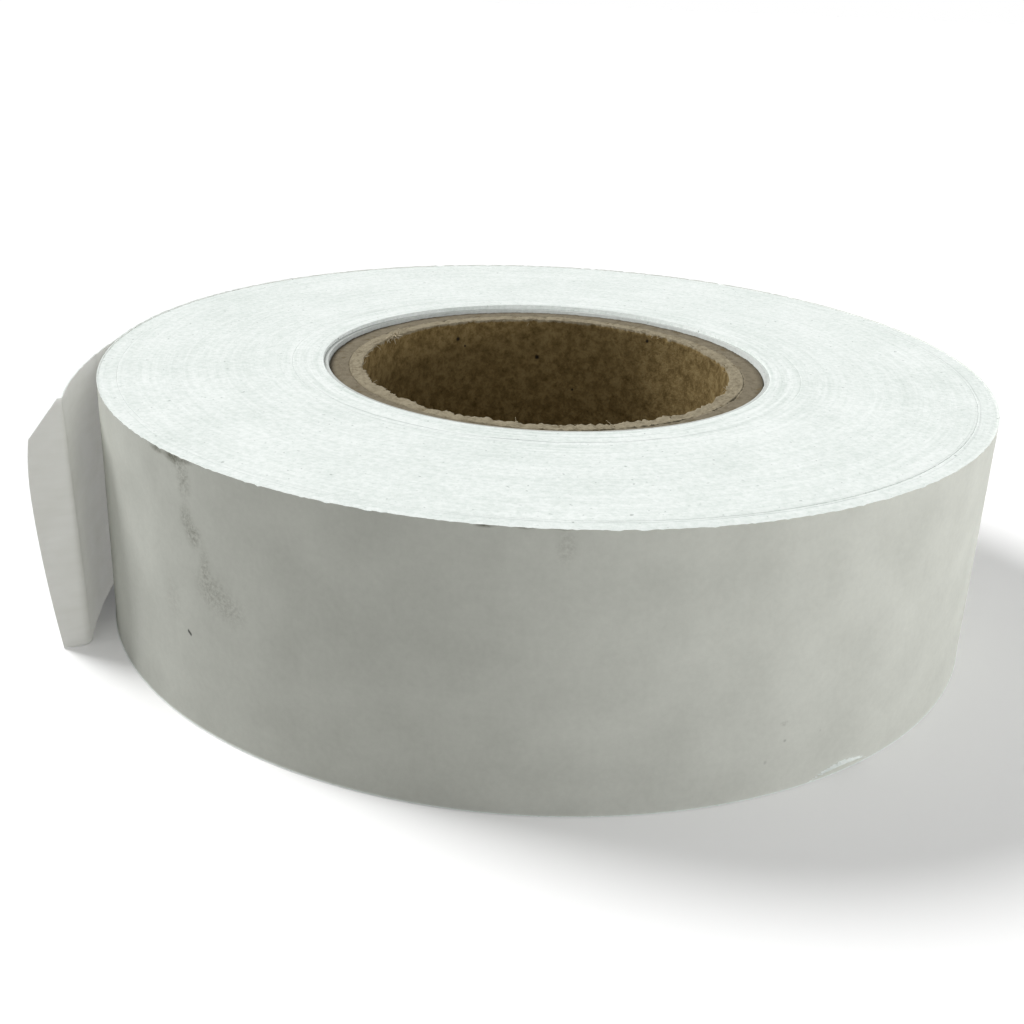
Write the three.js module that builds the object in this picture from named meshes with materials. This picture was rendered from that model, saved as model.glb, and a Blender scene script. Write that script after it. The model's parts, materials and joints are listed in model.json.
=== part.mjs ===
// Roll of white gummed paper tape on a board core, lying flat on a table with its free end lifted.
// Millimetres, +Z up along the roll's axis. The origin is on that axis, at the level of the table.
import * as THREE from 'three';

// Tape, and the roll that it makes
const rollDiameter = 90;
const tapeWidth = 25;
const tapeThickness = 0.1;

// Core: a tube of glued board plies, a little shorter than the tape is wide
const coreBore = 38.1;
const plyThickness = 0.58;
const plyCount = 5;
const glueLine = 0.1;
const coreRecess = 0.75;

// Wound bands that show as rings on the face, each as thick as the turns in it build up
const bandGap = 0.1;
const firstTurnsBuild = 0.35;
const firstTurnsRecess = 0.45;
const innerBuild = 3.1;
const innerRecess = 0.1;
const outerBuild = 1.5;

// Outer turn: angles run the way that the tape is wound, from +X towards +Y
const leaveAngle = 180; // where the tape leaves the roll
const seamTrim = 7; // how far past that point the outer turn begins
const turnGap = 0.3; // between the outer turn and the band under it
const turnLift = 0.1; // the outer turn stands this much proud of the roll's top face

// The last stretch of the outer turn comes off in short lengths, which hinge on one another
const peelCount = 6;
const peelAngle = 10;
const jointGap = 0.3;

// Tail: the free end, up to a crease
const tailLength = 20.3;
const tailBendRadius = 60;
const tailLift = 5.8; // degrees away from the roll where the tail starts

// Flap: the short end that is folded outwards at the crease, with its top corner clipped off
const flapTurn = 76; // degrees that the fold turns it away from the tail
const flapFoot = 2.4;
const flapBelly = 4.35;
const flapBellyHeight = 13;
const flapHead = 3.5;
const clipDrop = 3.5;
const clipStart = 0.3;

// Fineness of the round shapes
const roundSteps = 72;
const tailSteps = 6;
const flapSteps = 6;

const rollRadius = rollDiameter / 2;
const plyPitch = plyThickness + glueLine;
const coreRadius = coreBore / 2 + plyCount * plyPitch - glueLine;
const firstTurnsRadius = coreRadius + bandGap;
const innerRadius = firstTurnsRadius + firstTurnsBuild + bandGap;
const mainRadius = innerRadius + innerBuild + bandGap;
const packRadius = rollRadius - 2 * tapeThickness - turnGap;
const outerRadius = packRadius - outerBuild;
const seamAngle = leaveAngle - 360 + seamTrim;
const peelStart = leaveAngle - peelCount * peelAngle;

const radians = THREE.MathUtils.degToRad;

// The outer turn's middle surface climbs one thickness of tape in a full turn.
function turnRadius(angle) {
  return rollRadius - tapeThickness / 2 - tapeThickness * (leaveAngle - angle) / 360;
}

// Half of the gap at a hinge of the tape, as an angle on the roll
const halfGapAngle = THREE.MathUtils.radToDeg(jointGap / 2 / turnRadius(leaveAngle));

// A point of the outer turn, set off outwards from its middle surface
function turnPoint(angle, offset) {
  const radius = turnRadius(angle) + offset;
  return new THREE.Vector2(radius * Math.cos(radians(angle)), radius * Math.sin(radians(angle)));
}

// A point of the tail, which starts at its own origin along +X and bends towards +Y, the roll's side
function tailPoint(length, offset) {
  const turn = length / tailBendRadius;
  const radius = tailBendRadius + offset;
  return new THREE.Vector2(radius * Math.sin(turn), tailBendRadius - radius * Math.cos(turn));
}

// Points along a stretch of tape, at even steps
function along(pointAt, from, to, steps, offset) {
  const points = [];
  for (let step = 0; step <= steps; step += 1) {
    points.push(pointAt(from + (to - from) * step / steps, offset));
  }
  return points;
}

// A standing stretch of tape: its plan outline, drawn up to the tape's width
function standingTape(pointAt, from, to, steps) {
  const outerFace = along(pointAt, from, to, steps, tapeThickness / 2);
  const innerFace = along(pointAt, from, to, steps, -tapeThickness / 2);
  const outline = new THREE.Shape(outerFace.concat(innerFace.reverse()));
  return new THREE.ExtrudeGeometry(outline, { depth: tapeWidth, bevelEnabled: false });
}

// A stretch of the outer turn between two angles, in about the same steps as the round shapes
function turnStretch(from, to) {
  const steps = Math.ceil((to - from) * roundSteps / 360);
  return standingTape(turnPoint, from, to, steps).translate(0, 0, turnLift);
}

// A tube on the roll's axis that falls short of both faces of the roll by a recess
function tube(inside, outside, recess) {
  const profile = [
    new THREE.Vector2(inside, recess),
    new THREE.Vector2(outside, recess),
    new THREE.Vector2(outside, tapeWidth - recess),
    new THREE.Vector2(inside, tapeWidth - recess),
    new THREE.Vector2(inside, recess),
  ];
  return new THREE.LatheGeometry(profile, roundSteps).rotateX(Math.PI / 2);
}

// The flap stands on edge along +X from the crease. The fold turns about the tape's outer face, so the
// sheet lies on the inner side of the crease's line.
function flapSheet() {
  const outline = new THREE.Shape();
  outline.moveTo(jointGap / 2, 0);
  outline.lineTo(flapFoot, 0);
  outline.quadraticCurveTo(flapBelly, flapBellyHeight, flapHead, tapeWidth - clipDrop);
  outline.lineTo(clipStart, tapeWidth);
  outline.lineTo(jointGap / 2, tapeWidth);
  const settings = { depth: tapeThickness, bevelEnabled: false, curveSegments: flapSteps };
  return new THREE.ExtrudeGeometry(outline, settings)
    .rotateX(Math.PI / 2)
    .translate(0, tapeThickness, 0);
}

function piece(name, geometry, colour, roughness) {
  const material = new THREE.MeshStandardMaterial({ color: colour, roughness, metalness: 0 });
  const mesh = new THREE.Mesh(geometry, material);
  mesh.name = name;
  return mesh;
}

function tapePiece(name, geometry) {
  return piece(name, geometry, '#e9efe8', 0.8);
}

// Core plies, from the liner in the bore to the wrap that the tape is wound on
function core() {
  const group = new THREE.Group();
  for (let ply = 0; ply < plyCount; ply += 1) {
    const inside = coreBore / 2 + ply * plyPitch;
    const tubeShape = tube(inside, inside + plyThickness, coreRecess);
    const isLiner = ply === 0;
    const isWrap = ply === plyCount - 1;
    const name = isLiner ? 'core_liner' : isWrap ? 'core_wrap' : `core_ply_${ply + 1}`;
    group.add(piece(name, tubeShape, isLiner ? '#4b3f27' : '#857a66', 0.95));
  }
  return group;
}

// The wound tape under the outer turn
function windings() {
  const group = new THREE.Group();
  const firstTurns = tube(firstTurnsRadius, firstTurnsRadius + firstTurnsBuild, firstTurnsRecess);
  group.add(tapePiece('first_turns', firstTurns));
  group.add(tapePiece('inner_windings', tube(innerRadius, innerRadius + innerBuild, innerRecess)));
  group.add(tapePiece('main_windings', tube(mainRadius, outerRadius - bandGap, 0)));
  group.add(tapePiece('outer_windings', tube(outerRadius, packRadius, 0)));
  return group;
}

// The outer turn, which lies on the roll up to the stretch that peels off
function outerTurn() {
  const group = new THREE.Group();
  group.add(tapePiece('outer_turn', turnStretch(seamAngle, peelStart - halfGapAngle)));
  for (let index = 0; index < peelCount; index += 1) {
    const from = peelStart + index * peelAngle + halfGapAngle;
    const to = peelStart + (index + 1) * peelAngle - halfGapAngle;
    group.add(tapePiece(`peel_segment_${index + 1}`, turnStretch(from, to)));
  }
  return group;
}

// The tail starts on the middle surface where the tape leaves the roll, and carries the flap.
function freeEnd() {
  const tailGroup = new THREE.Group();
  const start = turnPoint(leaveAngle, 0);
  tailGroup.position.set(start.x, start.y, turnLift);
  tailGroup.rotation.z = radians(leaveAngle + 90 - tailLift);
  const sheet = standingTape(tailPoint, jointGap / 2, tailLength - jointGap / 2, tailSteps);
  tailGroup.add(tapePiece('tail', sheet));

  const flapGroup = new THREE.Group();
  const crease = tailPoint(tailLength, tapeThickness / 2);
  flapGroup.position.set(crease.x, crease.y, 0);
  flapGroup.rotation.z = tailLength / tailBendRadius - radians(flapTurn);
  flapGroup.add(tapePiece('tail_flap', flapSheet()));
  tailGroup.add(flapGroup);
  return tailGroup;
}

// Least gap between the wound stretch and the tail, measured on points of their middle surfaces
function leastGapToItself(tailGroup) {
  tailGroup.updateMatrixWorld(true);
  const wound = along(turnPoint, seamAngle, peelStart, roundSteps, 0);
  const free = along(tailPoint, 0, tailLength, roundSteps, 0).map((point) => {
    const place = new THREE.Vector3(point.x, point.y, 0).applyMatrix4(tailGroup.matrixWorld);
    return new THREE.Vector2(place.x, place.y);
  });
  const distances = wound.flatMap((point) => free.map((other) => point.distanceTo(other)));
  return Math.min(...distances) - tapeThickness;
}

const tail = freeEnd();
console.log(`least gap of the outer turn to itself: ${leastGapToItself(tail).toFixed(2)} mm`);

const roll = new THREE.Group();
roll.add(core(), windings(), outerTurn(), tail);

export default roll;
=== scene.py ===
import json
import math
import random
import bmesh
import bpy
from mathutils import Matrix, Vector, noise


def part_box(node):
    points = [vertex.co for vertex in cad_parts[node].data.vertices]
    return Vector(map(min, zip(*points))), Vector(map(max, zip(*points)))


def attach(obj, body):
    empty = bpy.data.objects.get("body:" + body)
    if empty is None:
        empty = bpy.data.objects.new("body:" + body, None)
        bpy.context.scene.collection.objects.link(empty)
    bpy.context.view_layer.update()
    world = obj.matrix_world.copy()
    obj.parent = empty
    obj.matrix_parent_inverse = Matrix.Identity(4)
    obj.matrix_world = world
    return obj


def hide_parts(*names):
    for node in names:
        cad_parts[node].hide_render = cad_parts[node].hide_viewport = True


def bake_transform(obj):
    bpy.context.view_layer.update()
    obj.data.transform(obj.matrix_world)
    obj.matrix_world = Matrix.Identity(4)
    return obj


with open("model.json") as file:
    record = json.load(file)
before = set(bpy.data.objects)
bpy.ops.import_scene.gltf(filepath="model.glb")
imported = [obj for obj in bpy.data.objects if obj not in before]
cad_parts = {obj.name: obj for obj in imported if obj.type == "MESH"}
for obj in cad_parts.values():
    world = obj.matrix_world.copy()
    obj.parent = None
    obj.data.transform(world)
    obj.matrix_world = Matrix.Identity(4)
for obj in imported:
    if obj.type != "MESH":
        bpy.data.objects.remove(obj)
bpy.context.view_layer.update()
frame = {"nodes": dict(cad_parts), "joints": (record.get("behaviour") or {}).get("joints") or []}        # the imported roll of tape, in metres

mm = 0.001
scene = bpy.context.scene
print("frame loaded:", len(frame["nodes"]), "nodes")


# sRGB hex to linear colour
def linear(hexColour):
    parts = [int(hexColour[i:i + 2], 16) / 255 for i in (1, 3, 5)]
    return tuple(c / 12.92 if c < 0.04045 else ((c + 0.055) / 1.055) ** 2.4 for c in parts) + (1.0,)


# texture scale for a pattern whose marks are so many millimetres across
def perMm(size):
    return 1 / (size * mm)


# least and greatest distance of a node from the roll's axis
def radii(node):
    spans = [math.hypot(v.co.x, v.co.y) for v in frame["nodes"][node].data.vertices]
    return min(spans), max(spans)


# one node with its settings; inputs are values or sockets to link
def addNode(tree, kind, inputs=None, **settings):
    node = tree.nodes.new(kind)
    for name, value in settings.items():
        setattr(node, name, value)
    for socket, value in (inputs or {}).items():
        if isinstance(value, bpy.types.NodeSocket):
            tree.links.new(value, node.inputs[socket])
        else:
            node.inputs[socket].default_value = value
    return node


def newMaterial(name):
    material = bpy.data.materials.new(name)
    material.use_nodes = True
    return material, material.node_tree, material.node_tree.nodes["Principled BSDF"]


# camera, at the photograph's place and angle
cameraView = {
    "place": (-0.62, -134.06, 63.39),  # mm
    "pitch": 22.587,  # degrees down
    "yaw": -0.994,
    "roll": 2.335,
    "lens": 46.84,
    "sensor": 36.0,
}


def makeCamera(view):
    pitch, yaw, roll = (math.radians(view[k]) for k in ("pitch", "yaw", "roll"))
    ahead = Vector((math.sin(yaw) * math.cos(pitch), math.cos(yaw) * math.cos(pitch), -math.sin(pitch)))
    level = Vector((math.cos(yaw), -math.sin(yaw), 0))
    over = level.cross(ahead)
    right = math.cos(roll) * level + math.sin(roll) * over
    up = math.cos(roll) * over - math.sin(roll) * level
    data = bpy.data.cameras.new("photoCamera")
    data.lens = view["lens"]
    data.sensor_width = view["sensor"]
    data.clip_start = 0.01
    camera = bpy.data.objects.new("photoCamera", data)
    turn = Matrix((right, up, -ahead)).transposed().to_4x4()
    camera.matrix_world = Matrix.Translation(Vector(view["place"]) * mm) @ turn
    scene.collection.objects.link(camera)
    scene.camera = camera


makeCamera(cameraView)


# studio: pale floor, soft key from the left and behind, low fills from the right and the front, plain sky
studio = {
    "floorSize": 4.0,
    "floorDrop": 0.02 * mm,  # under the roll, so that no faces share a plane
    "floorSeen": "#ffffff",  # what the camera sees
    "floorBounce": "#a0a09b",  # what lights the roll from below
    "floorGlow": 0.1,  # lifts the lit floor to white
    "skyLevel": 0.36,
    "keyLevel": 2.55,
    "keyFrom": (-0.63, 0.31, 0.72),
    "keySoftness": 22,  # degrees
    "fillLevel": 0.98,  # watts
    "fillPlace": (0.36, -0.10, 0.018),
    "fillSize": 0.11,
    "frontLevel": 0.38,
    "frontPlace": (-0.12, -0.6, 0.09),
    "frontSize": 0.3,
    "aimAt": (0, 0, 12.5 * mm),
}


def aimed(obj, place, target):
    place = Vector(place)
    turn = (Vector(target) - place).to_track_quat("-Z", "Y").to_matrix().to_4x4()
    obj.matrix_world = Matrix.Translation(place) @ turn


# camera, mirror and glass rays, which see the backdrop white
def seenRays(tree):
    path = addNode(tree, "ShaderNodeLightPath")
    seen = addNode(tree, "ShaderNodeMath", {0: path.outputs["Is Camera Ray"],
                                            1: path.outputs["Is Glossy Ray"]},
                   operation="MAXIMUM")
    return addNode(tree, "ShaderNodeMath", {0: seen.outputs[0], 1: path.outputs["Is Transmission Ray"]},
                   operation="MAXIMUM").outputs[0]


def makeStudio(s):
    bm = bmesh.new()
    bmesh.ops.create_grid(bm, x_segments=1, y_segments=1, size=s["floorSize"] / 2)
    bmesh.ops.translate(bm, verts=bm.verts, vec=(0, 0, -s["floorDrop"]))
    mesh = bpy.data.meshes.new("floor")
    bm.to_mesh(mesh)
    bm.free()
    floor = bpy.data.objects.new("floor", mesh)
    scene.collection.objects.link(floor)
    material, tree, shader = newMaterial("paperBackdrop")
    mix = addNode(tree, "ShaderNodeMix", {0: seenRays(tree), 6: linear(s["floorBounce"]),
                                          7: linear(s["floorSeen"])},
                  data_type="RGBA")
    tree.links.new(mix.outputs[2], shader.inputs["Base Color"])
    glow = addNode(tree, "ShaderNodeMath", {0: seenRays(tree), 1: s["floorGlow"]}, operation="MULTIPLY")
    tree.links.new(glow.outputs[0], shader.inputs["Emission Strength"])
    shader.inputs["Emission Color"].default_value = (1, 1, 1, 1)
    shader.inputs["Roughness"].default_value = 0.9
    shader.inputs["Specular IOR Level"].default_value = 0.0
    mesh.materials.append(material)

    world = bpy.data.worlds.new("studioSky")
    world.use_nodes = True
    scene.world = world
    tree = world.node_tree
    level = addNode(tree, "ShaderNodeMapRange", {0: seenRays(tree), 3: s["skyLevel"], 4: 1.0})
    sky = tree.nodes["Background"]
    sky.inputs["Color"].default_value = (1, 1, 1, 1)
    tree.links.new(level.outputs[0], sky.inputs["Strength"])

    key = bpy.data.lights.new("softKey", "SUN")
    key.energy = s["keyLevel"]
    key.angle = math.radians(s["keySoftness"])
    keyObject = bpy.data.objects.new("softKey", key)
    aimed(keyObject, s["keyFrom"], (0, 0, 0))
    scene.collection.objects.link(keyObject)

    for name, part in (("sideFill", "fill"), ("frontFill", "front")):
        fill = bpy.data.lights.new(name, "AREA")
        fill.energy = s[part + "Level"]
        fill.shape = "SQUARE"
        fill.size = s[part + "Size"]
        fillObject = bpy.data.objects.new(name, fill)
        aimed(fillObject, s[part + "Place"], s["aimAt"])
        scene.collection.objects.link(fillObject)
    scene.view_settings.view_transform = "Standard"


makeStudio(studio)
print("camera and studio set")


# sizes read from the frame
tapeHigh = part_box("outer_turn")[1].z
tapeLow = 0.02 * mm  # the tape's lower edge, just off the table
tapeOutside = radii("peel_segment_6")[1] - 0.08 * mm  # room for the bruised edge
hinges = {joint["name"]: Vector(joint["pos_m"]) for joint in frame["joints"]}
peelHinges = [hinges["peel_joint_%d" % n] for n in range(1, 7)]
boreRadius = radii("core_liner")[0]
coreRadius = radii("core_wrap")[1]
coreLow, coreHigh = (corner.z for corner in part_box("core_liner"))


# length along the tape from the place where it leaves the roll; less than nothing while on the roll
def lengthAt(angle):
    return math.radians(angle - 180) * tapeOutside


# slit edges of the wound tape: cut paper fibre packed into a felt-like face, with the turns as faint
# rings. Very matt, near white with a cool cast.
slitEdge = {
    "light": "#fafffc",
    "dark": "#d1dcd5",
    "grain": 0.42,  # mm, fibre clumps
    "fine": 0.2,
    "turnGroup": 0.34,  # single turns of 0.1 mm are too fine to show, so they are drawn in threes
    "cloud": 7.0,
    "dust": "#aab3ae",
    "dustSize": 0.5,
    "ringLine": "#a9b1ae",
    # radius in mm, half width, strength, angle of the middle, how far it runs each way
    "rings": (
        (23.5, 0.10, 0.30, -100, 70), (24.3, 0.09, 0.30, -95, 60), (25.6, 0.13, 0.75, -95, 62),
        (26.35, 0.09, 0.45, -112, 34), (30.4, 0.08, 0.40, -108, 16), (43.3, 0.10, 0.60, -66, 50),
        (42.7, 0.07, 0.35, -40, 30), (43.5, 0.08, 0.28, -120, 40), (43.2, 0.10, 0.45, 10, 50),
    ),
}


def slitEdgeMaterial(s, name):
    material, tree, shader = newMaterial(name)
    place = addNode(tree, "ShaderNodeTexCoord").outputs["Object"]
    flat = addNode(tree, "ShaderNodeVectorMath", {0: place, 1: (1, 1, 0)}, operation="MULTIPLY").outputs[0]
    radius = addNode(tree, "ShaderNodeVectorMath", {0: flat}, operation="LENGTH").outputs["Value"]
    around = addNode(tree, "ShaderNodeVectorMath", {0: flat}, operation="NORMALIZE").outputs[0]
    outwards = addNode(tree, "ShaderNodeMath", {0: radius, 1: perMm(s["turnGroup"])}, operation="MULTIPLY")
    stacked = addNode(tree, "ShaderNodeCombineXYZ", {2: outwards.outputs[0]}).outputs[0]
    wrapped = addNode(tree, "ShaderNodeVectorMath", {0: around, 1: (2.5, 2.5, 0), 2: stacked},
                      operation="MULTIPLY_ADD").outputs[0]
    turns = addNode(tree, "ShaderNodeTexNoise", {"Vector": wrapped, "Scale": 1.0, "Detail": 2.0}).outputs[0]
    grain = addNode(tree, "ShaderNodeTexNoise", {"Vector": place, "Scale": perMm(s["grain"]), "Detail": 4.0,
                                                 "Roughness": 0.65}).outputs[0]
    fine = addNode(tree, "ShaderNodeTexNoise", {"Vector": place, "Scale": perMm(s["fine"]),
                                                "Detail": 2.0}).outputs[0]
    cloud = addNode(tree, "ShaderNodeTexNoise", {"Vector": place, "Scale": perMm(s["cloud"]),
                                                 "Detail": 2.0}).outputs[0]
    # shade from the patterns, each about 0.5 on average; the turns show more near the hole
    shade = addNode(tree, "ShaderNodeMath", {0: grain, 1: 1.5, 2: -0.75},
                    operation="MULTIPLY_ADD").outputs[0]
    nearHole = addNode(tree, "ShaderNodeMapRange", {0: radius, 1: 24 * mm, 2: 29 * mm, 3: 1.3,
                                                    4: 0.55}).outputs[0]
    centred = addNode(tree, "ShaderNodeMath", {0: turns, 1: 0.5}, operation="SUBTRACT").outputs[0]
    shade = addNode(tree, "ShaderNodeMath", {0: centred, 1: nearHole, 2: shade},
                    operation="MULTIPLY_ADD").outputs[0]
    shade = addNode(tree, "ShaderNodeMath", {0: cloud, 1: 0.5, 2: shade},
                    operation="MULTIPLY_ADD").outputs[0]
    shade = addNode(tree, "ShaderNodeMath", {0: shade, 1: 0.05}, operation="ADD", use_clamp=True).outputs[0]
    colour = addNode(tree, "ShaderNodeMix", {0: shade, 6: linear(s["light"]), 7: linear(s["dark"])},
                     data_type="RGBA").outputs[2]
    # sparse specks of dust
    dust = addNode(tree, "ShaderNodeTexNoise", {"Vector": place, "Scale": perMm(s["dustSize"]),
                                                "Detail": 1.0})
    dusty = addNode(tree, "ShaderNodeMapRange", {0: dust.outputs[0], 1: 0.70, 2: 0.80, 4: 0.8}).outputs[0]
    colour = addNode(tree, "ShaderNodeMix", {0: dusty, 6: colour, 7: linear(s["dust"])},
                     data_type="RGBA").outputs[2]
    # ring lines, strongest at one side of the roll and broken along their length
    breaks = addNode(tree, "ShaderNodeTexNoise", {"Vector": around, "Scale": 6.0, "Detail": 4.0}).outputs[0]
    wobble = addNode(tree, "ShaderNodeMath", {0: breaks, 1: 0.5 * mm, 2: radius},
                     operation="MULTIPLY_ADD").outputs[0]
    patchy = addNode(tree, "ShaderNodeMapRange", {0: breaks, 1: 0.3, 2: 0.62, 3: 0.25, 4: 1.0}).outputs[0]
    for ring, width, strength, angle, run in s["rings"]:
        away = addNode(tree, "ShaderNodeMath", {0: wobble, 1: (ring + 0.25) * mm},
                       operation="SUBTRACT").outputs[0]
        away = addNode(tree, "ShaderNodeMath", {0: away}, operation="ABSOLUTE").outputs[0]
        line = addNode(tree, "ShaderNodeMapRange", {0: away, 1: width * mm, 2: 0.1 * width * mm, 3: 0.0,
                                                    4: strength},
                       interpolation_type="SMOOTHSTEP").outputs[0]
        middle = (math.cos(math.radians(angle)), math.sin(math.radians(angle)), 0)
        facing = addNode(tree, "ShaderNodeVectorMath", {0: around, 1: middle},
                         operation="DOT_PRODUCT").outputs["Value"]
        there = addNode(tree, "ShaderNodeMapRange", {0: facing, 1: math.cos(math.radians(run)),
                                                     2: 1.0}).outputs[0]
        line = addNode(tree, "ShaderNodeMath", {0: line, 1: there}, operation="MULTIPLY").outputs[0]
        line = addNode(tree, "ShaderNodeMath", {0: line, 1: patchy}, operation="MULTIPLY").outputs[0]
        colour = addNode(tree, "ShaderNodeMix", {0: line, 6: colour, 7: linear(s["ringLine"])},
                         data_type="RGBA").outputs[2]
    tree.links.new(colour, shader.inputs["Base Color"])
    relief = addNode(tree, "ShaderNodeMath", {0: fine, 1: 0.5, 2: grain},
                     operation="MULTIPLY_ADD").outputs[0]
    relief = addNode(tree, "ShaderNodeMath", {0: turns, 1: 0.6, 2: relief},
                     operation="MULTIPLY_ADD").outputs[0]
    bump = addNode(tree, "ShaderNodeBump", {"Strength": 0.7, "Distance": 0.06 * mm, "Height": relief})
    tree.links.new(bump.outputs[0], shader.inputs["Normal"])
    shader.inputs["Roughness"].default_value = 0.92
    shader.inputs["Specular IOR Level"].default_value = 0.25
    return material


# light that soaks through one thickness of the paper, once it is off the roll. Less comes through past the
# crease: no cause is known, and it is matched to the photograph.
paperGlow = {
    "from": -3.0 * mm,
    "to": 4.0 * mm,
    "creaseFrom": 18.6 * mm,
    "creaseTo": 20.2 * mm,
    "flapShare": 0.5,
    "depth": 0.5 * mm,
    "spread": (1.0, 1.0, 0.97),
}


def soakLight(tree, shader, place):
    s = paperGlow
    length = addNode(tree, "ShaderNodeSeparateXYZ", {0: place}).outputs[0]
    free = addNode(tree, "ShaderNodeMapRange", {0: length, 1: s["from"], 2: s["to"]}).outputs[0]
    flap = addNode(tree, "ShaderNodeMapRange", {0: length, 1: s["creaseFrom"], 2: s["creaseTo"], 3: 1.0,
                                                4: s["flapShare"]}).outputs[0]
    weight = addNode(tree, "ShaderNodeMath", {0: free, 1: flap}, operation="MULTIPLY").outputs[0]
    tree.links.new(weight, shader.inputs["Subsurface Weight"])
    shader.inputs["Subsurface Radius"].default_value = s["spread"]
    shader.inputs["Subsurface Scale"].default_value = s["depth"]


# face of the tape: uncoated machine-made paper, smooth and matt, a little cloudy, scuffed and thumbed
paperFace = {
    "light": "#dadcd4",
    "dark": "#c9cbc3",
    "cloud": 6.0,  # mm
    "fibre": 0.6,
    "fine": 0.16,
    "grit": 0.36,
    "dirt": "#5f5d4c",
    # angle on the roll, height, half width and half height in mm, strength
    "scuffs": (
        (-131.6, 25.2, 1.7, 1.8, 0.7),
        (-130.6, 23.2, 1.3, 2.4, 0.5),
        (-130.5, 19.9, 1.2, 1.7, 0.55),
        (-129.4, 18.6, 1.5, 1.6, 0.6),
        (-127.7, 16.3, 1.0, 2.2, 0.4),
        (-127.6, 14.4, 2.3, 2.2, 0.30),
        (-125.8, 13.8, 2.6, 2.6, 0.32),
        (-123.6, 13.1, 2.2, 2.2, 0.24),
        (-133.9, 11.4, 1.8, 2.8, 0.16),
        (-87.5, 23.7, 1.2, 2.2, 0.26),
        (-62.6, 6.7, 0.6, 0.35, 0.45),
    ),
    "rimDirt": (
        (-135.5, 24.9, 1.6, 0.5, 0.8), (-132.5, 24.8, 1.8, 0.6, 1.0), (-130.0, 24.9, 1.2, 0.35, 0.6),
        (-95.3, 25.05, 1.1, 0.28, 0.9), (-91.5, 25.1, 0.9, 0.25, 0.6), (-88.0, 25.1, 1.2, 0.2, 0.5),
    ),
    "specks": (
        (-131.3, 9.2, 0.2, 0.26, 1.0),
        (-131.1, 9.1, 0.2, 0.26, 1.0),
        (-130.9, 9.0, 0.2, 0.26, 1.0),
        (-62.3, 5.0, 0.22, 0.22, 0.32),
        (-57.5, 5.0, 0.16, 0.16, 0.15),
        (-64.5, 3.3, 0.25, 0.3, 0.2),
    ),
    "speck": "#23211c",
}


def paperFaceMaterial(s):
    material, tree, shader = newMaterial("uncoatedPaper")
    place = addNode(tree, "ShaderNodeUVMap", uv_map="tapeMap").outputs[0]
    cloud = addNode(tree, "ShaderNodeTexNoise", {"Vector": place, "Scale": perMm(s["cloud"]),
                                                 "Detail": 3.0}).outputs[0]
    fibre = addNode(tree, "ShaderNodeTexNoise", {"Vector": place, "Scale": perMm(s["fibre"]), "Detail": 5.0,
                                                 "Roughness": 0.7}).outputs[0]
    fine = addNode(tree, "ShaderNodeTexNoise", {"Vector": place, "Scale": perMm(s["fine"]),
                                                "Detail": 2.0}).outputs[0]
    shade = addNode(tree, "ShaderNodeMath", {0: fibre, 1: 0.6, 2: cloud},
                    operation="MULTIPLY_ADD").outputs[0]
    shade = addNode(tree, "ShaderNodeMapRange", {0: shade, 1: 0.5, 2: 1.1}).outputs[0]
    colour = addNode(tree, "ShaderNodeMix", {0: shade, 6: linear(s["light"]), 7: linear(s["dark"])},
                     data_type="RGBA").outputs[2]
    soakLight(tree, shader, place)
    grit = addNode(tree, "ShaderNodeTexNoise", {"Vector": place, "Scale": perMm(s["grit"]), "Detail": 4.0,
                                                "Roughness": 0.75}).outputs[0]
    grit = addNode(tree, "ShaderNodeMapRange", {0: grit, 1: 0.40, 2: 0.66}).outputs[0]
    smear = addNode(tree, "ShaderNodeMapRange", {0: grit, 3: 0.55, 4: 1.0}).outputs[0]
    for marks, worn, soil in ((s["scuffs"], grit, s["dirt"]), (s["rimDirt"], smear, s["dirt"]),
                              (s["specks"], None, s["speck"])):
        for angle, height, halfWide, halfHigh, strength in marks:
            centre = (lengthAt(angle), height * mm, 0)
            size = (1 / (halfWide * mm), 1 / (halfHigh * mm), 0)
            off = addNode(tree, "ShaderNodeVectorMath", {0: place, 1: centre},
                          operation="SUBTRACT").outputs[0]
            off = addNode(tree, "ShaderNodeVectorMath", {0: off, 1: size}, operation="MULTIPLY").outputs[0]
            away = addNode(tree, "ShaderNodeVectorMath", {0: off}, operation="LENGTH").outputs["Value"]
            mark = addNode(tree, "ShaderNodeMapRange", {0: away, 1: 1.0, 2: 0.1, 3: 0.0, 4: strength},
                           interpolation_type="SMOOTHSTEP").outputs[0]
            if worn is not None:
                mark = addNode(tree, "ShaderNodeMath", {0: mark, 1: worn}, operation="MULTIPLY").outputs[0]
            colour = addNode(tree, "ShaderNodeMix", {0: mark, 6: colour, 7: linear(soil)},
                             data_type="RGBA").outputs[2]
    tree.links.new(colour, shader.inputs["Base Color"])
    relief = addNode(tree, "ShaderNodeMath", {0: fine, 1: 0.4, 2: fibre},
                     operation="MULTIPLY_ADD").outputs[0]
    bump = addNode(tree, "ShaderNodeBump", {"Strength": 0.25, "Distance": 0.02 * mm, "Height": relief})
    tree.links.new(bump.outputs[0], shader.inputs["Normal"])
    shader.inputs["Roughness"].default_value = 0.72
    shader.inputs["Specular IOR Level"].default_value = 0.35
    return material


# gummed side: a thin dried coat of water glue on the paper, a little darker, warmer and slicker
gumFace = {"light": "#f6f6f1", "dark": "#e9e9e2", "cloud": 5.0, "brush": 0.7}


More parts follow.
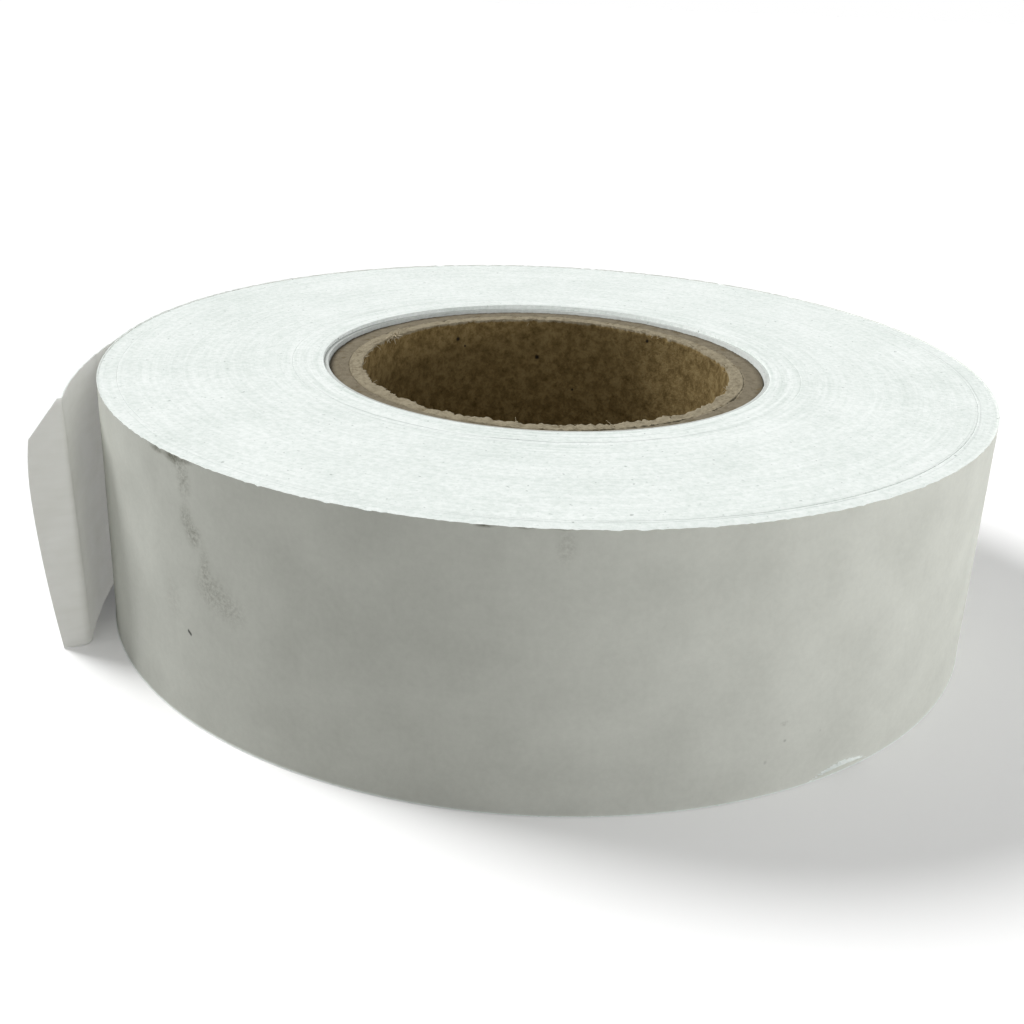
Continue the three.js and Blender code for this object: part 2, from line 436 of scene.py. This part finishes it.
def gumFaceMaterial(s):
    material, tree, shader = newMaterial("driedGumCoat")
    place = addNode(tree, "ShaderNodeUVMap", uv_map="tapeMap").outputs[0]
    cloud = addNode(tree, "ShaderNodeTexNoise", {"Vector": place, "Scale": perMm(s["cloud"]),
                                                 "Detail": 3.0}).outputs[0]
    drawn = addNode(tree, "ShaderNodeMapping", {"Vector": place, "Scale": (0.15, 1, 1)}).outputs[0]
    brush = addNode(tree, "ShaderNodeTexNoise", {"Vector": drawn, "Scale": perMm(s["brush"]),
                                                 "Detail": 3.0}).outputs[0]
    shade = addNode(tree, "ShaderNodeMath", {0: brush, 1: 0.35, 2: cloud},
                    operation="MULTIPLY_ADD").outputs[0]
    shade = addNode(tree, "ShaderNodeMapRange", {0: shade, 1: 0.45, 2: 0.95}).outputs[0]
    colour = addNode(tree, "ShaderNodeMix", {0: shade, 6: linear(s["light"]), 7: linear(s["dark"])},
                     data_type="RGBA").outputs[2]
    tree.links.new(colour, shader.inputs["Base Color"])
    rough = addNode(tree, "ShaderNodeMapRange", {0: brush, 3: 0.45, 4: 0.6}).outputs[0]
    tree.links.new(rough, shader.inputs["Roughness"])
    bump = addNode(tree, "ShaderNodeBump", {"Strength": 0.15, "Distance": 0.02 * mm, "Height": brush})
    tree.links.new(bump.outputs[0], shader.inputs["Normal"])
    soakLight(tree, shader, place)
    return material


# core board: grey-brown recycled fibre, pressed and glued. The bore is darker and mottled, and round it
# the slit end is furred with pale torn fibre.
coreBoard = {
    "boreDark": "#56451f",
    "bore": "#88744b",
    "boreLight": "#9d8a60",
    "pitShade": "#1d140a",
    "endDark": "#655d4b",
    "end": "#837a67",
    "furDark": "#746a55",
    "fur": "#9f957e",
    "blotch": 1.1,  # mm
    "fibre": 0.32,
    "furTo": 20.4,  # mm from the axis
    # dark ring at the core's edge: painted shade in the gap to the tape, and grime
    "gapShadeAndGrime": "#4b4335",
    "gapShadeFrom": 21.7,
    "gapShadeTo": 22.35,
    # angle, height and size of the pits in the bore, mm; each is a near-black spot of painted shade
    "pits": ((122.7, 22.33, 0.32), (119.9, 21.4, 0.18), (93.2, 19.75, 0.36), (52.9, 23.3, 0.28),
             (80.0, 16.0, 0.2)),
}


def coreBoardMaterial(s, name):
    material, tree, shader = newMaterial(name)
    place = addNode(tree, "ShaderNodeTexCoord").outputs["Object"]
    height = addNode(tree, "ShaderNodeSeparateXYZ", {0: place}).outputs[2]
    flat = addNode(tree, "ShaderNodeVectorMath", {0: place, 1: (1, 1, 0)}, operation="MULTIPLY").outputs[0]
    radius = addNode(tree, "ShaderNodeVectorMath", {0: flat}, operation="LENGTH").outputs["Value"]
    blotch = addNode(tree, "ShaderNodeTexNoise", {"Vector": place, "Scale": perMm(s["blotch"]),
                                                  "Detail": 5.0, "Roughness": 0.68}).outputs[0]
    fibre = addNode(tree, "ShaderNodeTexNoise", {"Vector": place, "Scale": perMm(s["fibre"]), "Detail": 4.0,
                                                 "Roughness": 0.7}).outputs[0]
    tone = addNode(tree, "ShaderNodeMath", {0: fibre, 1: 0.45, 2: blotch},
                   operation="MULTIPLY_ADD").outputs[0]
    low = addNode(tree, "ShaderNodeMapRange", {0: tone, 1: 0.48, 2: 0.78}).outputs[0]
    high = addNode(tree, "ShaderNodeMapRange", {0: tone, 1: 0.73, 2: 0.95}).outputs[0]
    bore = addNode(tree, "ShaderNodeMix", {0: low, 6: linear(s["boreDark"]), 7: linear(s["bore"])},
                   data_type="RGBA").outputs[2]
    bore = addNode(tree, "ShaderNodeMix", {0: high, 6: bore, 7: linear(s["boreLight"])},
                   data_type="RGBA").outputs[2]
    # the pits are near-black spots: painted shade, with no hollow in the mesh
    for angle, level, size in s["pits"]:
        turn = math.radians(angle)
        centre = (boreRadius * math.cos(turn), boreRadius * math.sin(turn), level * mm)
        away = addNode(tree, "ShaderNodeVectorMath", {0: place, 1: centre},
                       operation="DISTANCE").outputs["Value"]
        pit = addNode(tree, "ShaderNodeMapRange", {0: away, 1: size * mm, 2: 0.4 * size * mm}).outputs[0]
        bore = addNode(tree, "ShaderNodeMix", {0: pit, 6: bore, 7: linear(s["pitShade"])},
                       data_type="RGBA").outputs[2]
    end = addNode(tree, "ShaderNodeMix", {0: low, 6: linear(s["endDark"]), 7: linear(s["end"])},
                  data_type="RGBA").outputs[2]
    fur = addNode(tree, "ShaderNodeMix", {0: low, 6: linear(s["furDark"]), 7: linear(s["fur"])},
                  data_type="RGBA").outputs[2]
    ragged = addNode(tree, "ShaderNodeMath", {0: blotch, 1: 0.9 * mm, 2: radius},
                     operation="MULTIPLY_ADD").outputs[0]
    furred = addNode(tree, "ShaderNodeMapRange", {0: ragged, 1: (s["furTo"] + 0.57) * mm,
                                                  2: (s["furTo"] + 0.33) * mm})
    end = addNode(tree, "ShaderNodeMix", {0: furred.outputs[0], 6: end, 7: fur},
                  data_type="RGBA").outputs[2]
    # darker ring where the tape starts: painted shade in the gap between core and tape, and grime
    ringed = addNode(tree, "ShaderNodeMath", {0: fibre, 1: 0.5 * mm, 2: radius},
                     operation="MULTIPLY_ADD").outputs[0]
    gapShaded = addNode(tree, "ShaderNodeMapRange", {0: ringed, 1: (s["gapShadeFrom"] + 0.25) * mm,
                                                 2: (s["gapShadeTo"] + 0.25) * mm, 4: 0.8}).outputs[0]
    end = addNode(tree, "ShaderNodeMix", {0: gapShaded, 6: end, 7: linear(s["gapShadeAndGrime"])},
                  data_type="RGBA").outputs[2]
    # the bore's colour stops near the slit ends, at a ragged line
    middle = (coreLow + coreHigh) / 2
    up = addNode(tree, "ShaderNodeMath", {0: height, 1: middle}, operation="SUBTRACT").outputs[0]
    up = addNode(tree, "ShaderNodeMath", {0: up}, operation="ABSOLUTE").outputs[0]
    up = addNode(tree, "ShaderNodeMath", {0: blotch, 1: 1.0 * mm, 2: up},
                 operation="MULTIPLY_ADD").outputs[0]
    half = coreHigh - middle
    ends = addNode(tree, "ShaderNodeMapRange", {0: up, 1: half + 0.22 * mm, 2: half + 0.42 * mm}).outputs[0]
    colour = addNode(tree, "ShaderNodeMix", {0: ends, 6: bore, 7: end}, data_type="RGBA").outputs[2]
    tree.links.new(colour, shader.inputs["Base Color"])
    relief = addNode(tree, "ShaderNodeMath", {0: fibre, 1: 0.8, 2: blotch},
                     operation="MULTIPLY_ADD").outputs[0]
    bump = addNode(tree, "ShaderNodeBump", {"Strength": 0.8, "Distance": 0.12 * mm, "Height": relief})
    tree.links.new(bump.outputs[0], shader.inputs["Normal"])
    shader.inputs["Roughness"].default_value = 0.9
    shader.inputs["Specular IOR Level"].default_value = 0.2
    return material


# torn fibre at the core's slit end: bleached pulp, pale and quite matt
def tornFibreMaterial():
    material, _, shader = newMaterial("tornPulpFibre")
    shader.inputs["Base Color"].default_value = linear("#bdb198")
    shader.inputs["Roughness"].default_value = 0.95
    shader.inputs["Specular IOR Level"].default_value = 0.2
    return material


# the first turns sit lower, in the recess by the core, so their edge colour is greyed: painted shade of the
# recess
recessShadeEdge = dict(slitEdge, light="#d2d6d2", dark="#b4b8b4", rings=())

edgeStuff = slitEdgeMaterial(slitEdge, "slitPaperEdge")
recessShadeStuff = slitEdgeMaterial(recessShadeEdge, "recessShadedPaperEdge")
paperStuff = paperFaceMaterial(paperFace)
gumStuff = gumFaceMaterial(gumFace)
boreStuff = coreBoardMaterial(coreBoard, "recycledBoardLiner")
plyStuff = coreBoardMaterial(coreBoard, "recycledBoardPlies")
fibreStuff = tornFibreMaterial()
print("materials made")


# a finished mesh becomes a piece of the part
def makePiece(name, bm, materials, nodes):
    mesh = bpy.data.meshes.new(name)
    bm.to_mesh(mesh)
    bm.free()
    for material in materials:
        mesh.materials.append(material)
    for polygon in mesh.polygons:
        polygon.use_smooth = True
    piece = bpy.data.objects.new(name, mesh)
    scene.collection.objects.link(piece)
    if nodes:
        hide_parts(*nodes)
    return piece


# the tape's outer turn climbs a little in each turn, and starts under its own end
tapeTurn = {
    "thickness": 0.1 * mm,
    "climb": 0.12 * mm,
    "startAngle": -250,  # degrees, counted back from the place where the tape leaves at 180
    "fit": 0.005 * mm,  # between the turn and the wound tape under it
}


# outer face of the tape at an angle that counts the turns
def turnRadius(angle):
    return tapeOutside + tapeTurn["climb"] * (angle - 180) / 360


# wall of the wound tape, which follows the inner face of the outer turn
def wallRadius(angle):
    first = (angle - tapeTurn["startAngle"]) % 360 + tapeTurn["startAngle"]
    return turnRadius(first) - tapeTurn["thickness"] - tapeTurn["fit"]


# wound bands, from the hole to the rim. A groove is a ring line that shows on the face: the angle where it
# is deepest, how far it runs each way, and its depth.
windings = {
    "first_turns": {"name": "firstTurns", "radii": (22.46, 22.95), "step": 0.12, "wander": 0.03,
                    "around": 240, "rise": 0.36},
    "inner_windings": {"name": "innerWindings", "radii": (22.95, 26.05), "step": 0.16, "wander": 0.04,
                       "around": 300, "level": 0.09, "outerGroove": (-108, 26, 0.10)},
    "main_windings": {"name": "mainWindings", "radii": (26.05, 42.95), "step": 0.22, "wander": 0.03,
                      "around": 360, "innerGroove": (-106, 24, 0.08), "outerGroove": (-50, 50, 0.05)},
    "outer_windings": {"name": "outerWindings", "radii": (42.95, 44.9), "step": 0.16, "wander": 0.03,
                       "around": 360, "innerGroove": (-55, 45, 0.07)},
}
grooveWidth = 0.08 * mm
turnSizes = {"fine": 0.4 * mm, "wide": 3 * mm}  # groups of turns that wander together


# a band turned from its section, with the edges of its turns wandering up and down
def turnedBand(node, s):
    inner, outer = (r * mm for r in s["radii"])
    low, high = (corner.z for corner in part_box(node))
    count = round((outer - inner) / (s["step"] * mm))
    across = [inner + (outer - inner) * i / count for i in range(1, count)]
    across = [r for r in across if inner + grooveWidth < r < outer - grooveWidth]
    section = [(inner, low), *[(r, low) for r in across[::3]], (outer, low), (outer, high)]
    section += [(outer - grooveWidth, high), *[(r, high) for r in reversed(across)]]
    section += [(inner + grooveWidth, high), (inner, high)]
    bm = bmesh.new()
    verts = [bm.verts.new((r, 0, z)) for r, z in section]
    edges = [bm.edges.new((verts[i - 1], verts[i])) for i in range(len(verts))]
    bmesh.ops.spin(bm, geom=verts + edges, cent=(0, 0, 0), axis=(0, 0, 1), angle=2 * math.pi,
                   steps=s["around"], use_merge=True)
    bmesh.ops.remove_doubles(bm, verts=bm.verts, dist=1e-7)
    bmesh.ops.recalc_face_normals(bm, faces=bm.faces)
    for v in bm.verts:
        r = v.co.xy.length
        around = Vector((v.co.x / r, v.co.y / r, 0))
        angle = math.degrees(math.atan2(v.co.y, v.co.x))
        if node == "outer_windings" and abs(r - outer) < 1e-6:
            v.co.xy = around.xy * wallRadius(angle)
        fineTurns = noise.noise(around + Vector((0, 0, r / turnSizes["fine"])))
        wideTurns = noise.noise(around * 1.3 + Vector((7, 0, r / turnSizes["wide"])))
        lift = s["wander"] * mm * (0.6 * fineTurns + wideTurns)
        if v.co.z < (low + high) / 2:
            v.co.z += abs(lift)
            continue
        # the first turns stand higher at the front than at the back
        lift += s.get("rise", 0) * mm * (1 - around.y) / 2 + s.get("level", 0) * mm
        for edge, groove in ((inner, s.get("innerGroove")), (outer, s.get("outerGroove"))):
            if groove and abs(r - edge) < 1e-6:
                off = abs((angle - groove[0] + 180) % 360 - 180) / groove[1]
                lift -= groove[2] * mm * max(0.0, 1 - off) * (1 + 0.6 * noise.noise(around * 14))
        v.co.z = min(v.co.z + lift, tapeHigh)
    # the first turns take the greyer edge colour, painted shade of their recess
    stuff = recessShadeStuff if node == "first_turns" else edgeStuff
    return makePiece(s["name"], bm, [stuff], [node])


for node, settings in windings.items():
    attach(turnedBand(node, settings), "roll")
print("wound bands turned")


# the tape's way: round the roll, off it, and along the tail to the crease and the flap
tapeWay = {
    "liftStart": -2.0 * mm,  # where the tape stops touching the roll, from the hinge
    "liftEnd": 1.5 * mm,
    "liftTurn": -1.65,  # degrees, away from the roll
    "bendRadius": 60 * mm,
    "creaseAt": 20.3 * mm,
    "creaseTurn": -76.0,
    "creaseTop": 0.30 * mm,  # length of the bend, sharp at the top and soft at the foot
    "creaseFoot": 1.3 * mm,
    "leanTop": 0.30 * mm,  # the tail leans out at the top and in at the foot
    "leanFoot": -0.34 * mm,
    "fray": 0.17 * mm,  # unevenness of the slit edges
    "lowerFray": 0.2,  # share of it at the lower edge, which the table keeps even
}


def onRoll(length):
    angle = 180 + math.degrees(length / tapeOutside)
    turn = math.radians(angle)
    return turnRadius(angle) * Vector((math.cos(turn), math.sin(turn))), turn + math.pi / 2


# goes on along an arc that turns by so much in that length
def onwards(place, heading, length, turn):
    if abs(turn) < 1e-9:
        return place + length * Vector((math.cos(heading), math.sin(heading))), heading
    radius = length / turn
    away = Vector((math.sin(heading + turn) - math.sin(heading),
                   math.cos(heading) - math.cos(heading + turn)))
    return place + radius * away, heading + turn


def outwards(heading):
    return Vector((math.sin(heading), -math.cos(heading)))


# place on the tape's outer face at a length along it and a height
def tapePlace(length, height):
    way = tapeWay
    if length <= way["liftStart"]:
        return onRoll(length)
    share = (height - tapeLow) / (tapeHigh - tapeLow)
    crease = way["creaseFoot"] + (way["creaseTop"] - way["creaseFoot"]) * share
    bend = way["creaseAt"] - crease / 2 - way["liftEnd"]
    stretches = (
        (way["liftEnd"] - way["liftStart"], math.radians(way["liftTurn"])),
        (bend, bend / way["bendRadius"]),
        (crease, math.radians(way["creaseTurn"])),
        (1.0, 0.0),
    )
    place, heading = onRoll(way["liftStart"])
    tailEndHeading = heading + stretches[0][1] + stretches[1][1]
    left = length - way["liftStart"]
    for run, turn in stretches:
        part = min(left, run)
        place, heading = onwards(place, heading, part, turn * part / run)
        left -= part
        if left <= 0:
            break
    free = min(1.0, (length - way["liftStart"]) / (way["creaseAt"] - way["liftStart"]))
    lean = way["leanFoot"] + (way["leanTop"] - way["leanFoot"]) * share
    return place + lean * free * free * (3 - 2 * free) * outwards(tailEndHeading), heading


# heights of the rows of a strip, closer together at its edges
def rowHeight(share):
    crowd = 0.86
    eased = share - crowd * math.sin(2 * math.pi * share) / (2 * math.pi)
    return tapeLow + (tapeHigh - tapeLow) * eased


# torn dent in the bottom edge at the right of the front, where the paper curls out over it
nick = {
    "angle": -53.4,
    "halfLength": 3.8 * mm,
    "height": 0.9 * mm,
    "curl": 0.34 * mm,
    "tuck": 0.06 * mm,
    "lipTop": 1.15,  # levels from here on are shares of the dent's height
    "lipEdge": 0.9,
    "lipFoot": 0.7,
    # levels of the lip that are painted white as a highlight
    "highlightFrom": 0.8,
    "highlightTo": 1.12,
}
# lower edge, bruised outwards by the table
bruise = {"out": 0.08 * mm, "height": 0.12 * mm}


def nickDepth(length):
    along = (length - lengthAt(nick["angle"])) / nick["halfLength"]
    return max(0.0, 1 - along * along)


# height in the dent, where 1 is its edge
def nickLevel(length, height):
    return (height - tapeLow) / max(nick["height"] * nickDepth(length), 0.001 * mm)


def edgeOffset(length, height):
    out = bruise["out"] * max(0.0, 1 - (height - tapeLow) / bruise["height"])
    depth = nickDepth(length)
    level = nickLevel(length, height)
    top, edge, foot = nick["lipTop"], nick["lipEdge"], nick["lipFoot"]
    if depth == 0 or level > top:
        return out
    if level > edge:
        return out + nick["curl"] * depth * (top - level) / (top - edge)
    if level > foot:
        back = (nick["curl"] + nick["tuck"]) * (edge - level) / (edge - foot)
        return out + depth * (nick["curl"] - back)
    return out - nick["tuck"] * depth * level / foot


# rows of the outer turn: fine at the lower edge, where the dent is, and again at the upper one
turnRows = {"count": 40, "fine": 22, "fineHeight": 1.5 * mm, "columnStep": 0.32 * mm, "crowd": 0.85}


def turnHeight(share):
    row = round(share * turnRows["count"])
    if row <= turnRows["fine"]:
        return tapeLow + turnRows["fineHeight"] * row / turnRows["fine"]
    left = (row - turnRows["fine"]) / (turnRows["count"] - turnRows["fine"])
    eased = left + turnRows["crowd"] * math.sin(math.pi * left) / math.pi
    foot = tapeLow + turnRows["fineHeight"]
    return foot + (tapeHigh - foot) * eased


# a strip of tape on a grid: columns run along the tape and rows up it
def tapeStrip(name, columns, rows, lengthOf, node, offset=None, heights=rowHeight):
    bm = bmesh.new()
    bmesh.ops.create_grid(bm, x_segments=columns, y_segments=rows, size=0.5)
    atlas = bm.loops.layers.uv.new("tapeMap")
    spots = {}
    for v in bm.verts:
        column, row = v.co.x + 0.5, v.co.y + 0.5
        height = heights(row)
        length = lengthOf(column, height)
        place, heading = tapePlace(length, height)
        if offset:
            place = place + offset(length, height) * outwards(heading)
        upper, lower = max(0.0, 2 * row - 1), max(0.0, 1 - 2 * row)
        edge = upper ** 12 + tapeWay["lowerFray"] * lower ** 12
        ragged = noise.noise(Vector((length / (1.1 * mm), 3 * row, 1)))
        ragged += 0.8 * noise.noise(Vector((length / (0.45 * mm), 3 * row, 5)))
        fray = tapeWay["fray"] * edge * ragged
        v.co = (place.x, place.y, min(height + fray, tapeHigh))
        spots[v] = (length, height)
    for face in bm.faces:
        for loop in face.loops:
            loop[atlas].uv = spots[loop.vert]
    bmesh.ops.recalc_face_normals(bm, faces=bm.faces)
    first = min(bm.faces, key=lambda f: spots[f.verts[0]][0])
    facing = outwards(tapePlace(*spots[first.verts[0]])[1])
    if first.normal.xy.dot(facing) < 0:
        bmesh.ops.reverse_faces(bm, faces=bm.faces)
    strip = makePiece(name, bm, [paperStuff, gumStuff, edgeStuff], [node])
    wall = strip.modifiers.new("thickness", "SOLIDIFY")
    wall.thickness = tapeTurn["thickness"]
    wall.offset = -1
    wall.use_even_offset = True
    wall.material_offset = 1
    wall.material_offset_rim = 2
    solid = bpy.data.meshes.new_from_object(strip.evaluated_get(bpy.context.evaluated_depsgraph_get()))
    strip.modifiers.clear()
    strip.data = solid
    solid.name = name
    for v in solid.vertices:
        v.co.z = min(max(v.co.z, 0.0), tapeHigh)
    solid.set_sharp_from_angle(angle=math.radians(40))
    return strip


stripRows = 48
columnStep = 0.5 * mm
segmentAngles = [math.degrees(math.atan2(h.y, h.x)) for h in peelHinges]
halfStep = (segmentAngles[1] - segmentAngles[0]) / 2
turnStart = lengthAt(tapeTurn["startAngle"])
turnEnd = lengthAt(segmentAngles[0] - halfStep)


def evenly(start, end):
    return lambda column, height: start + (end - start) * column


outerTurn = tapeStrip("outerTurn", round((turnEnd - turnStart) / turnRows["columnStep"]), turnRows["count"],
                      evenly(turnStart, turnEnd), "outer_turn", edgeOffset, turnHeight)
# the torn lip and the bruised lower edge take the white slit-edge colour: a painted highlight where they
# catch the light
atlas = outerTurn.data.uv_layers["tapeMap"].data
for polygon in outerTurn.data.polygons:
    corners = [atlas[i].uv for i in polygon.loop_indices]
    length = sum(corner[0] for corner in corners) / len(corners)
    height = sum(corner[1] for corner in corners) / len(corners)
    isLitLip = nick["highlightFrom"] < nickLevel(length, height) < nick["highlightTo"]
    if polygon.material_index == 0 and (height < bruise["height"] or isLitLip):
        polygon.material_index = 2
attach(outerTurn, "roll")
print("outer turn wound")


# points half-way up the tape, for the ends of a bend
def bendPoint(length):
    middle = (tapeLow + tapeHigh) / 2
    return (*tapePlace(length, middle)[0], middle)


# the stretch that peels off, cut in the middle of each length
for n, angle in enumerate(segmentAngles):
    start, end = lengthAt(angle - halfStep), lengthAt(angle + halfStep)
    strip = tapeStrip("peelStrip%d" % (n + 1), round((end - start) / columnStep), stripRows,
                      evenly(start, end), "peel_segment_%d" % (n + 1))
    bendPoint(lengthAt(angle))
    bendPoint(end)
    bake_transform(strip)

tailMiddle = 6.0 * mm
tailStart = lengthAt(segmentAngles[-1] + halfStep)
tailStrip = tapeStrip("tailStrip", round((tailMiddle - tailStart) / columnStep), stripRows,
                      evenly(tailStart, tailMiddle), "tail")
bendPoint(0.0)
bendPoint(tailMiddle)
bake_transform(tailStrip)
print("peeling stretch made")


# end of the tail, with the flap's slanted cut and its clipped top corner
flapCut = {
    "foot": 2.4 * mm,
    "belly": 3.62 * mm,
    "bellyHeight": 16.6 * mm,
    "head": 3.2 * mm,
    "clipHeight": 21.5 * mm,
    "clipEnd": 0.3 * mm,
    "tailColumns": 34,
    "flapColumns": 18,
    "crowdTail": 2.4,  # columns gather at the crease
    "crowdFlap": 1.7,
    "blendReach": 0.5 * mm,
}


def flapLength(height):
    cut = flapCut
    if height > cut["clipHeight"]:
        share = (height - cut["clipHeight"]) / (tapeHigh - cut["clipHeight"])
        return cut["head"] + (cut["clipEnd"] - cut["head"]) * share
    if height > cut["bellyHeight"]:
        share = (height - cut["bellyHeight"]) / (cut["clipHeight"] - cut["bellyHeight"])
        return cut["belly"] + (cut["head"] - cut["belly"]) * share * share
    share = (cut["bellyHeight"] - height) / (cut["bellyHeight"] - tapeLow)
    return cut["belly"] + (cut["foot"] - cut["belly"]) * share ** 1.7


def tailEndLength(column, height):
    cut = flapCut
    crease = tapeWay["creaseAt"]
    share = column * (cut["tailColumns"] + cut["flapColumns"])
    if share <= cut["tailColumns"]:
        back = (1 - share / cut["tailColumns"]) ** cut["crowdTail"]
        return crease + (tailMiddle - crease) * back
    on = (share - cut["tailColumns"]) / cut["flapColumns"]
    return crease + flapLength(height) * on ** cut["crowdFlap"]


# one row runs through the corner where the clip starts
def tailEndHeight(row):
    rows = [rowHeight(i / stripRows) for i in range(stripRows + 1)]
    nearest = min(range(len(rows)), key=lambda i: abs(rows[i] - flapCut["clipHeight"]))
    return flapCut["clipHeight"] if round(row * stripRows) == nearest else rowHeight(row)


tailEnd = tapeStrip("tailEnd", flapCut["tailColumns"] + flapCut["flapColumns"], stripRows, tailEndLength,
                    "tail_flap", heights=tailEndHeight)
bendPoint(tapeWay["creaseAt"] - flapCut["blendReach"])
bendPoint(tapeWay["creaseAt"] + flapCut["blendReach"])
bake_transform(tailEnd)
print("tail and flap made; crease off its hinge by %.2f mm"
      % ((Vector(bendPoint(tapeWay["creaseAt"])) - hinges["flap_crease"]).length / mm))


# core: the outer plies are cut clean, the inner two are furred where the knife came through
coreShape = {
    "innerSplit": (radii("core_ply_2")[1] + radii("core_ply_3")[0]) / 2,
    "around": 560,
    "boreRows": 40,
    "endColumns": 12,
    "boreWave": 0.05 * mm,
    "furIn": 0.34 * mm,  # how far the fur hangs into the bore
    "furUp": 0.22 * mm,
    "endRough": 0.05 * mm,
    "furDepth": 0.6 * mm,  # how far down and out from the bore's edge the fur goes
    "furReach": 0.8 * mm,
    "fuzz": 0.3 * mm,
}


def turnedTube(inner, outer, rows, columns, around):
    bm = bmesh.new()
    section = [(inner, coreLow + (coreHigh - coreLow) * i / rows) for i in range(rows)]
    section += [(inner + (outer - inner) * i / columns, coreHigh) for i in range(columns)]
    section += [(outer, coreHigh - (coreHigh - coreLow) * i / 4) for i in range(4)]
    section += [(outer - (outer - inner) * i / columns, coreLow) for i in range(columns)]
    verts = [bm.verts.new((r, 0, z)) for r, z in section]
    edges = [bm.edges.new((verts[i - 1], verts[i])) for i in range(len(verts))]
    bmesh.ops.spin(bm, geom=verts + edges, cent=(0, 0, 0), axis=(0, 0, 1), angle=2 * math.pi, steps=around,
                   use_merge=True)
    bmesh.ops.remove_doubles(bm, verts=bm.verts, dist=1e-7)
    bmesh.ops.recalc_face_normals(bm, faces=bm.faces)
    return bm


def makeCore(s):
    middle = (coreLow + coreHigh) / 2
    bm = turnedTube(boreRadius, s["innerSplit"], s["boreRows"], s["endColumns"], s["around"])
    for v in bm.verts:
        r = v.co.xy.length
        around = Vector((v.co.x / r, v.co.y / r, 0))
        side = 1 if v.co.z > middle else -1
        atEnd = max(0.0, 1 - (coreHigh - middle - abs(v.co.z - middle)) / s["furDepth"])
        atBore = max(0.0, 1 - (r - boreRadius) / s["furReach"])
        coarse = noise.noise(around * 8 + Vector((0, 0, 3 * side)))
        rough = noise.noise(around * 44 + Vector((0, 0, 5 * side)))
        fuzz = noise.noise(v.co / s["fuzz"])
        wave = s["boreWave"] * noise.noise(v.co / (4 * mm)) * atBore
        inward = s["furIn"] * atEnd * atBore * max(-0.2, 0.2 + 0.9 * coarse + 0.4 * rough + 0.6 * fuzz)
        up = s["furUp"] * atEnd * (0.2 + 0.4 * coarse + 0.4 * rough + 0.6 * fuzz)
        v.co -= around * (inward - wave)
        v.co.z += side * up
    liner = makePiece("coreInnerPlies", bm, [boreStuff], ["core_liner", "core_ply_2"])
    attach(liner, "roll")

    bm = turnedTube(s["innerSplit"], coreRadius, 6, s["endColumns"], s["around"])
    for v in bm.verts:
        atEnd = max(0.0, 1 - (coreHigh - middle - abs(v.co.z - middle)) / (0.3 * mm))
        v.co.z += s["endRough"] * atEnd * (noise.noise(v.co / (0.5 * mm)) + noise.noise(v.co / (3 * mm)))
    plies = makePiece("coreOuterPlies", bm, [plyStuff],
                      ["core_ply_3", "core_ply_4", "core_wrap"])
    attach(plies, "roll")


makeCore(coreShape)
print("core turned")


# loose fibres that stand off the torn end of the core, each a thin bent tube
tornFibres = {
    "count": 60,
    "thickness": (0.02, 0.045),  # mm, radius
    "length": (0.35, 1.1),
    "joints": 5,
    "sides": 5,
    "tufts": ((154.4, 0.5, 26), (150.8, 0.4, 18), (-53.0, 0.5, 5)),  # angle, reach in mm, fibres
}


def addFibre(bm, foot, aim, bend, length, thickness, s):
    ring = bmesh.ops.create_circle(bm, segments=s["sides"], radius=thickness)["verts"]
    turn = aim.to_track_quat("Z", "Y").to_matrix()
    bmesh.ops.rotate(bm, verts=ring, cent=(0, 0, 0), matrix=turn)
    bmesh.ops.translate(bm, verts=ring, vec=foot)
    edges = list({e for v in ring for e in v.link_edges})
    bm.faces.new(ring)
    for joint in range(s["joints"]):
        grown = bmesh.ops.extrude_edge_only(bm, edges=edges)["geom"]
        ring = [g for g in grown if isinstance(g, bmesh.types.BMVert)]
        edges = [g for g in grown if isinstance(g, bmesh.types.BMEdge)]
        aim = (aim + bend).normalized()
        bmesh.ops.translate(bm, verts=ring, vec=aim * length / s["joints"])
        middle = sum((v.co for v in ring), Vector()) / len(ring)
        taper = 0.4 if joint == s["joints"] - 1 else 0.94
        for v in ring:
            v.co = middle + (v.co - middle) * taper
    bmesh.ops.edgeloop_fill(bm, edges=edges)


def makeFibres(s):
    pick = random.Random(11)
    bm = bmesh.new()
    stands = [(pick.uniform(-180, 180), 0.0) for _ in range(s["count"])]
    for angle, reach, count in s["tufts"]:
        for _ in range(count):
            off = math.degrees(pick.uniform(-reach, reach) * mm / boreRadius)
            stands.append((angle + off, 1.0))
    for angle, tufted in stands:
        turn = math.radians(angle)
        around = Vector((math.cos(turn), math.sin(turn), 0))
        along = Vector((-around.y, around.x, 0))
        foot = around * (boreRadius + pick.uniform(-0.1, 0.5) * mm)
        foot.z = coreHigh + pick.uniform(-0.25, 0.0) * mm
        sideways = pick.uniform(-1, 1)
        inwards = pick.uniform(0.1, 0.9)
        rise = pick.uniform(-0.3, 0.5)
        aim = along * sideways - around * inwards + Vector((0, 0, rise))
        bend = Vector([pick.uniform(-0.5, 0.5) for _ in range(3)])
        length = pick.uniform(*s["length"]) * mm * (0.8 if tufted else 1.0)
        thickness = pick.uniform(*s["thickness"]) * mm * (2.4 if tufted else 1.0)
        addFibre(bm, foot, aim.normalized(), bend, length, thickness, s)
    bmesh.ops.recalc_face_normals(bm, faces=bm.faces)
    fibres = makePiece("tornFibres", bm, [fibreStuff], [])
    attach(fibres, "roll")


makeFibres(tornFibres)
print("torn fibres made")
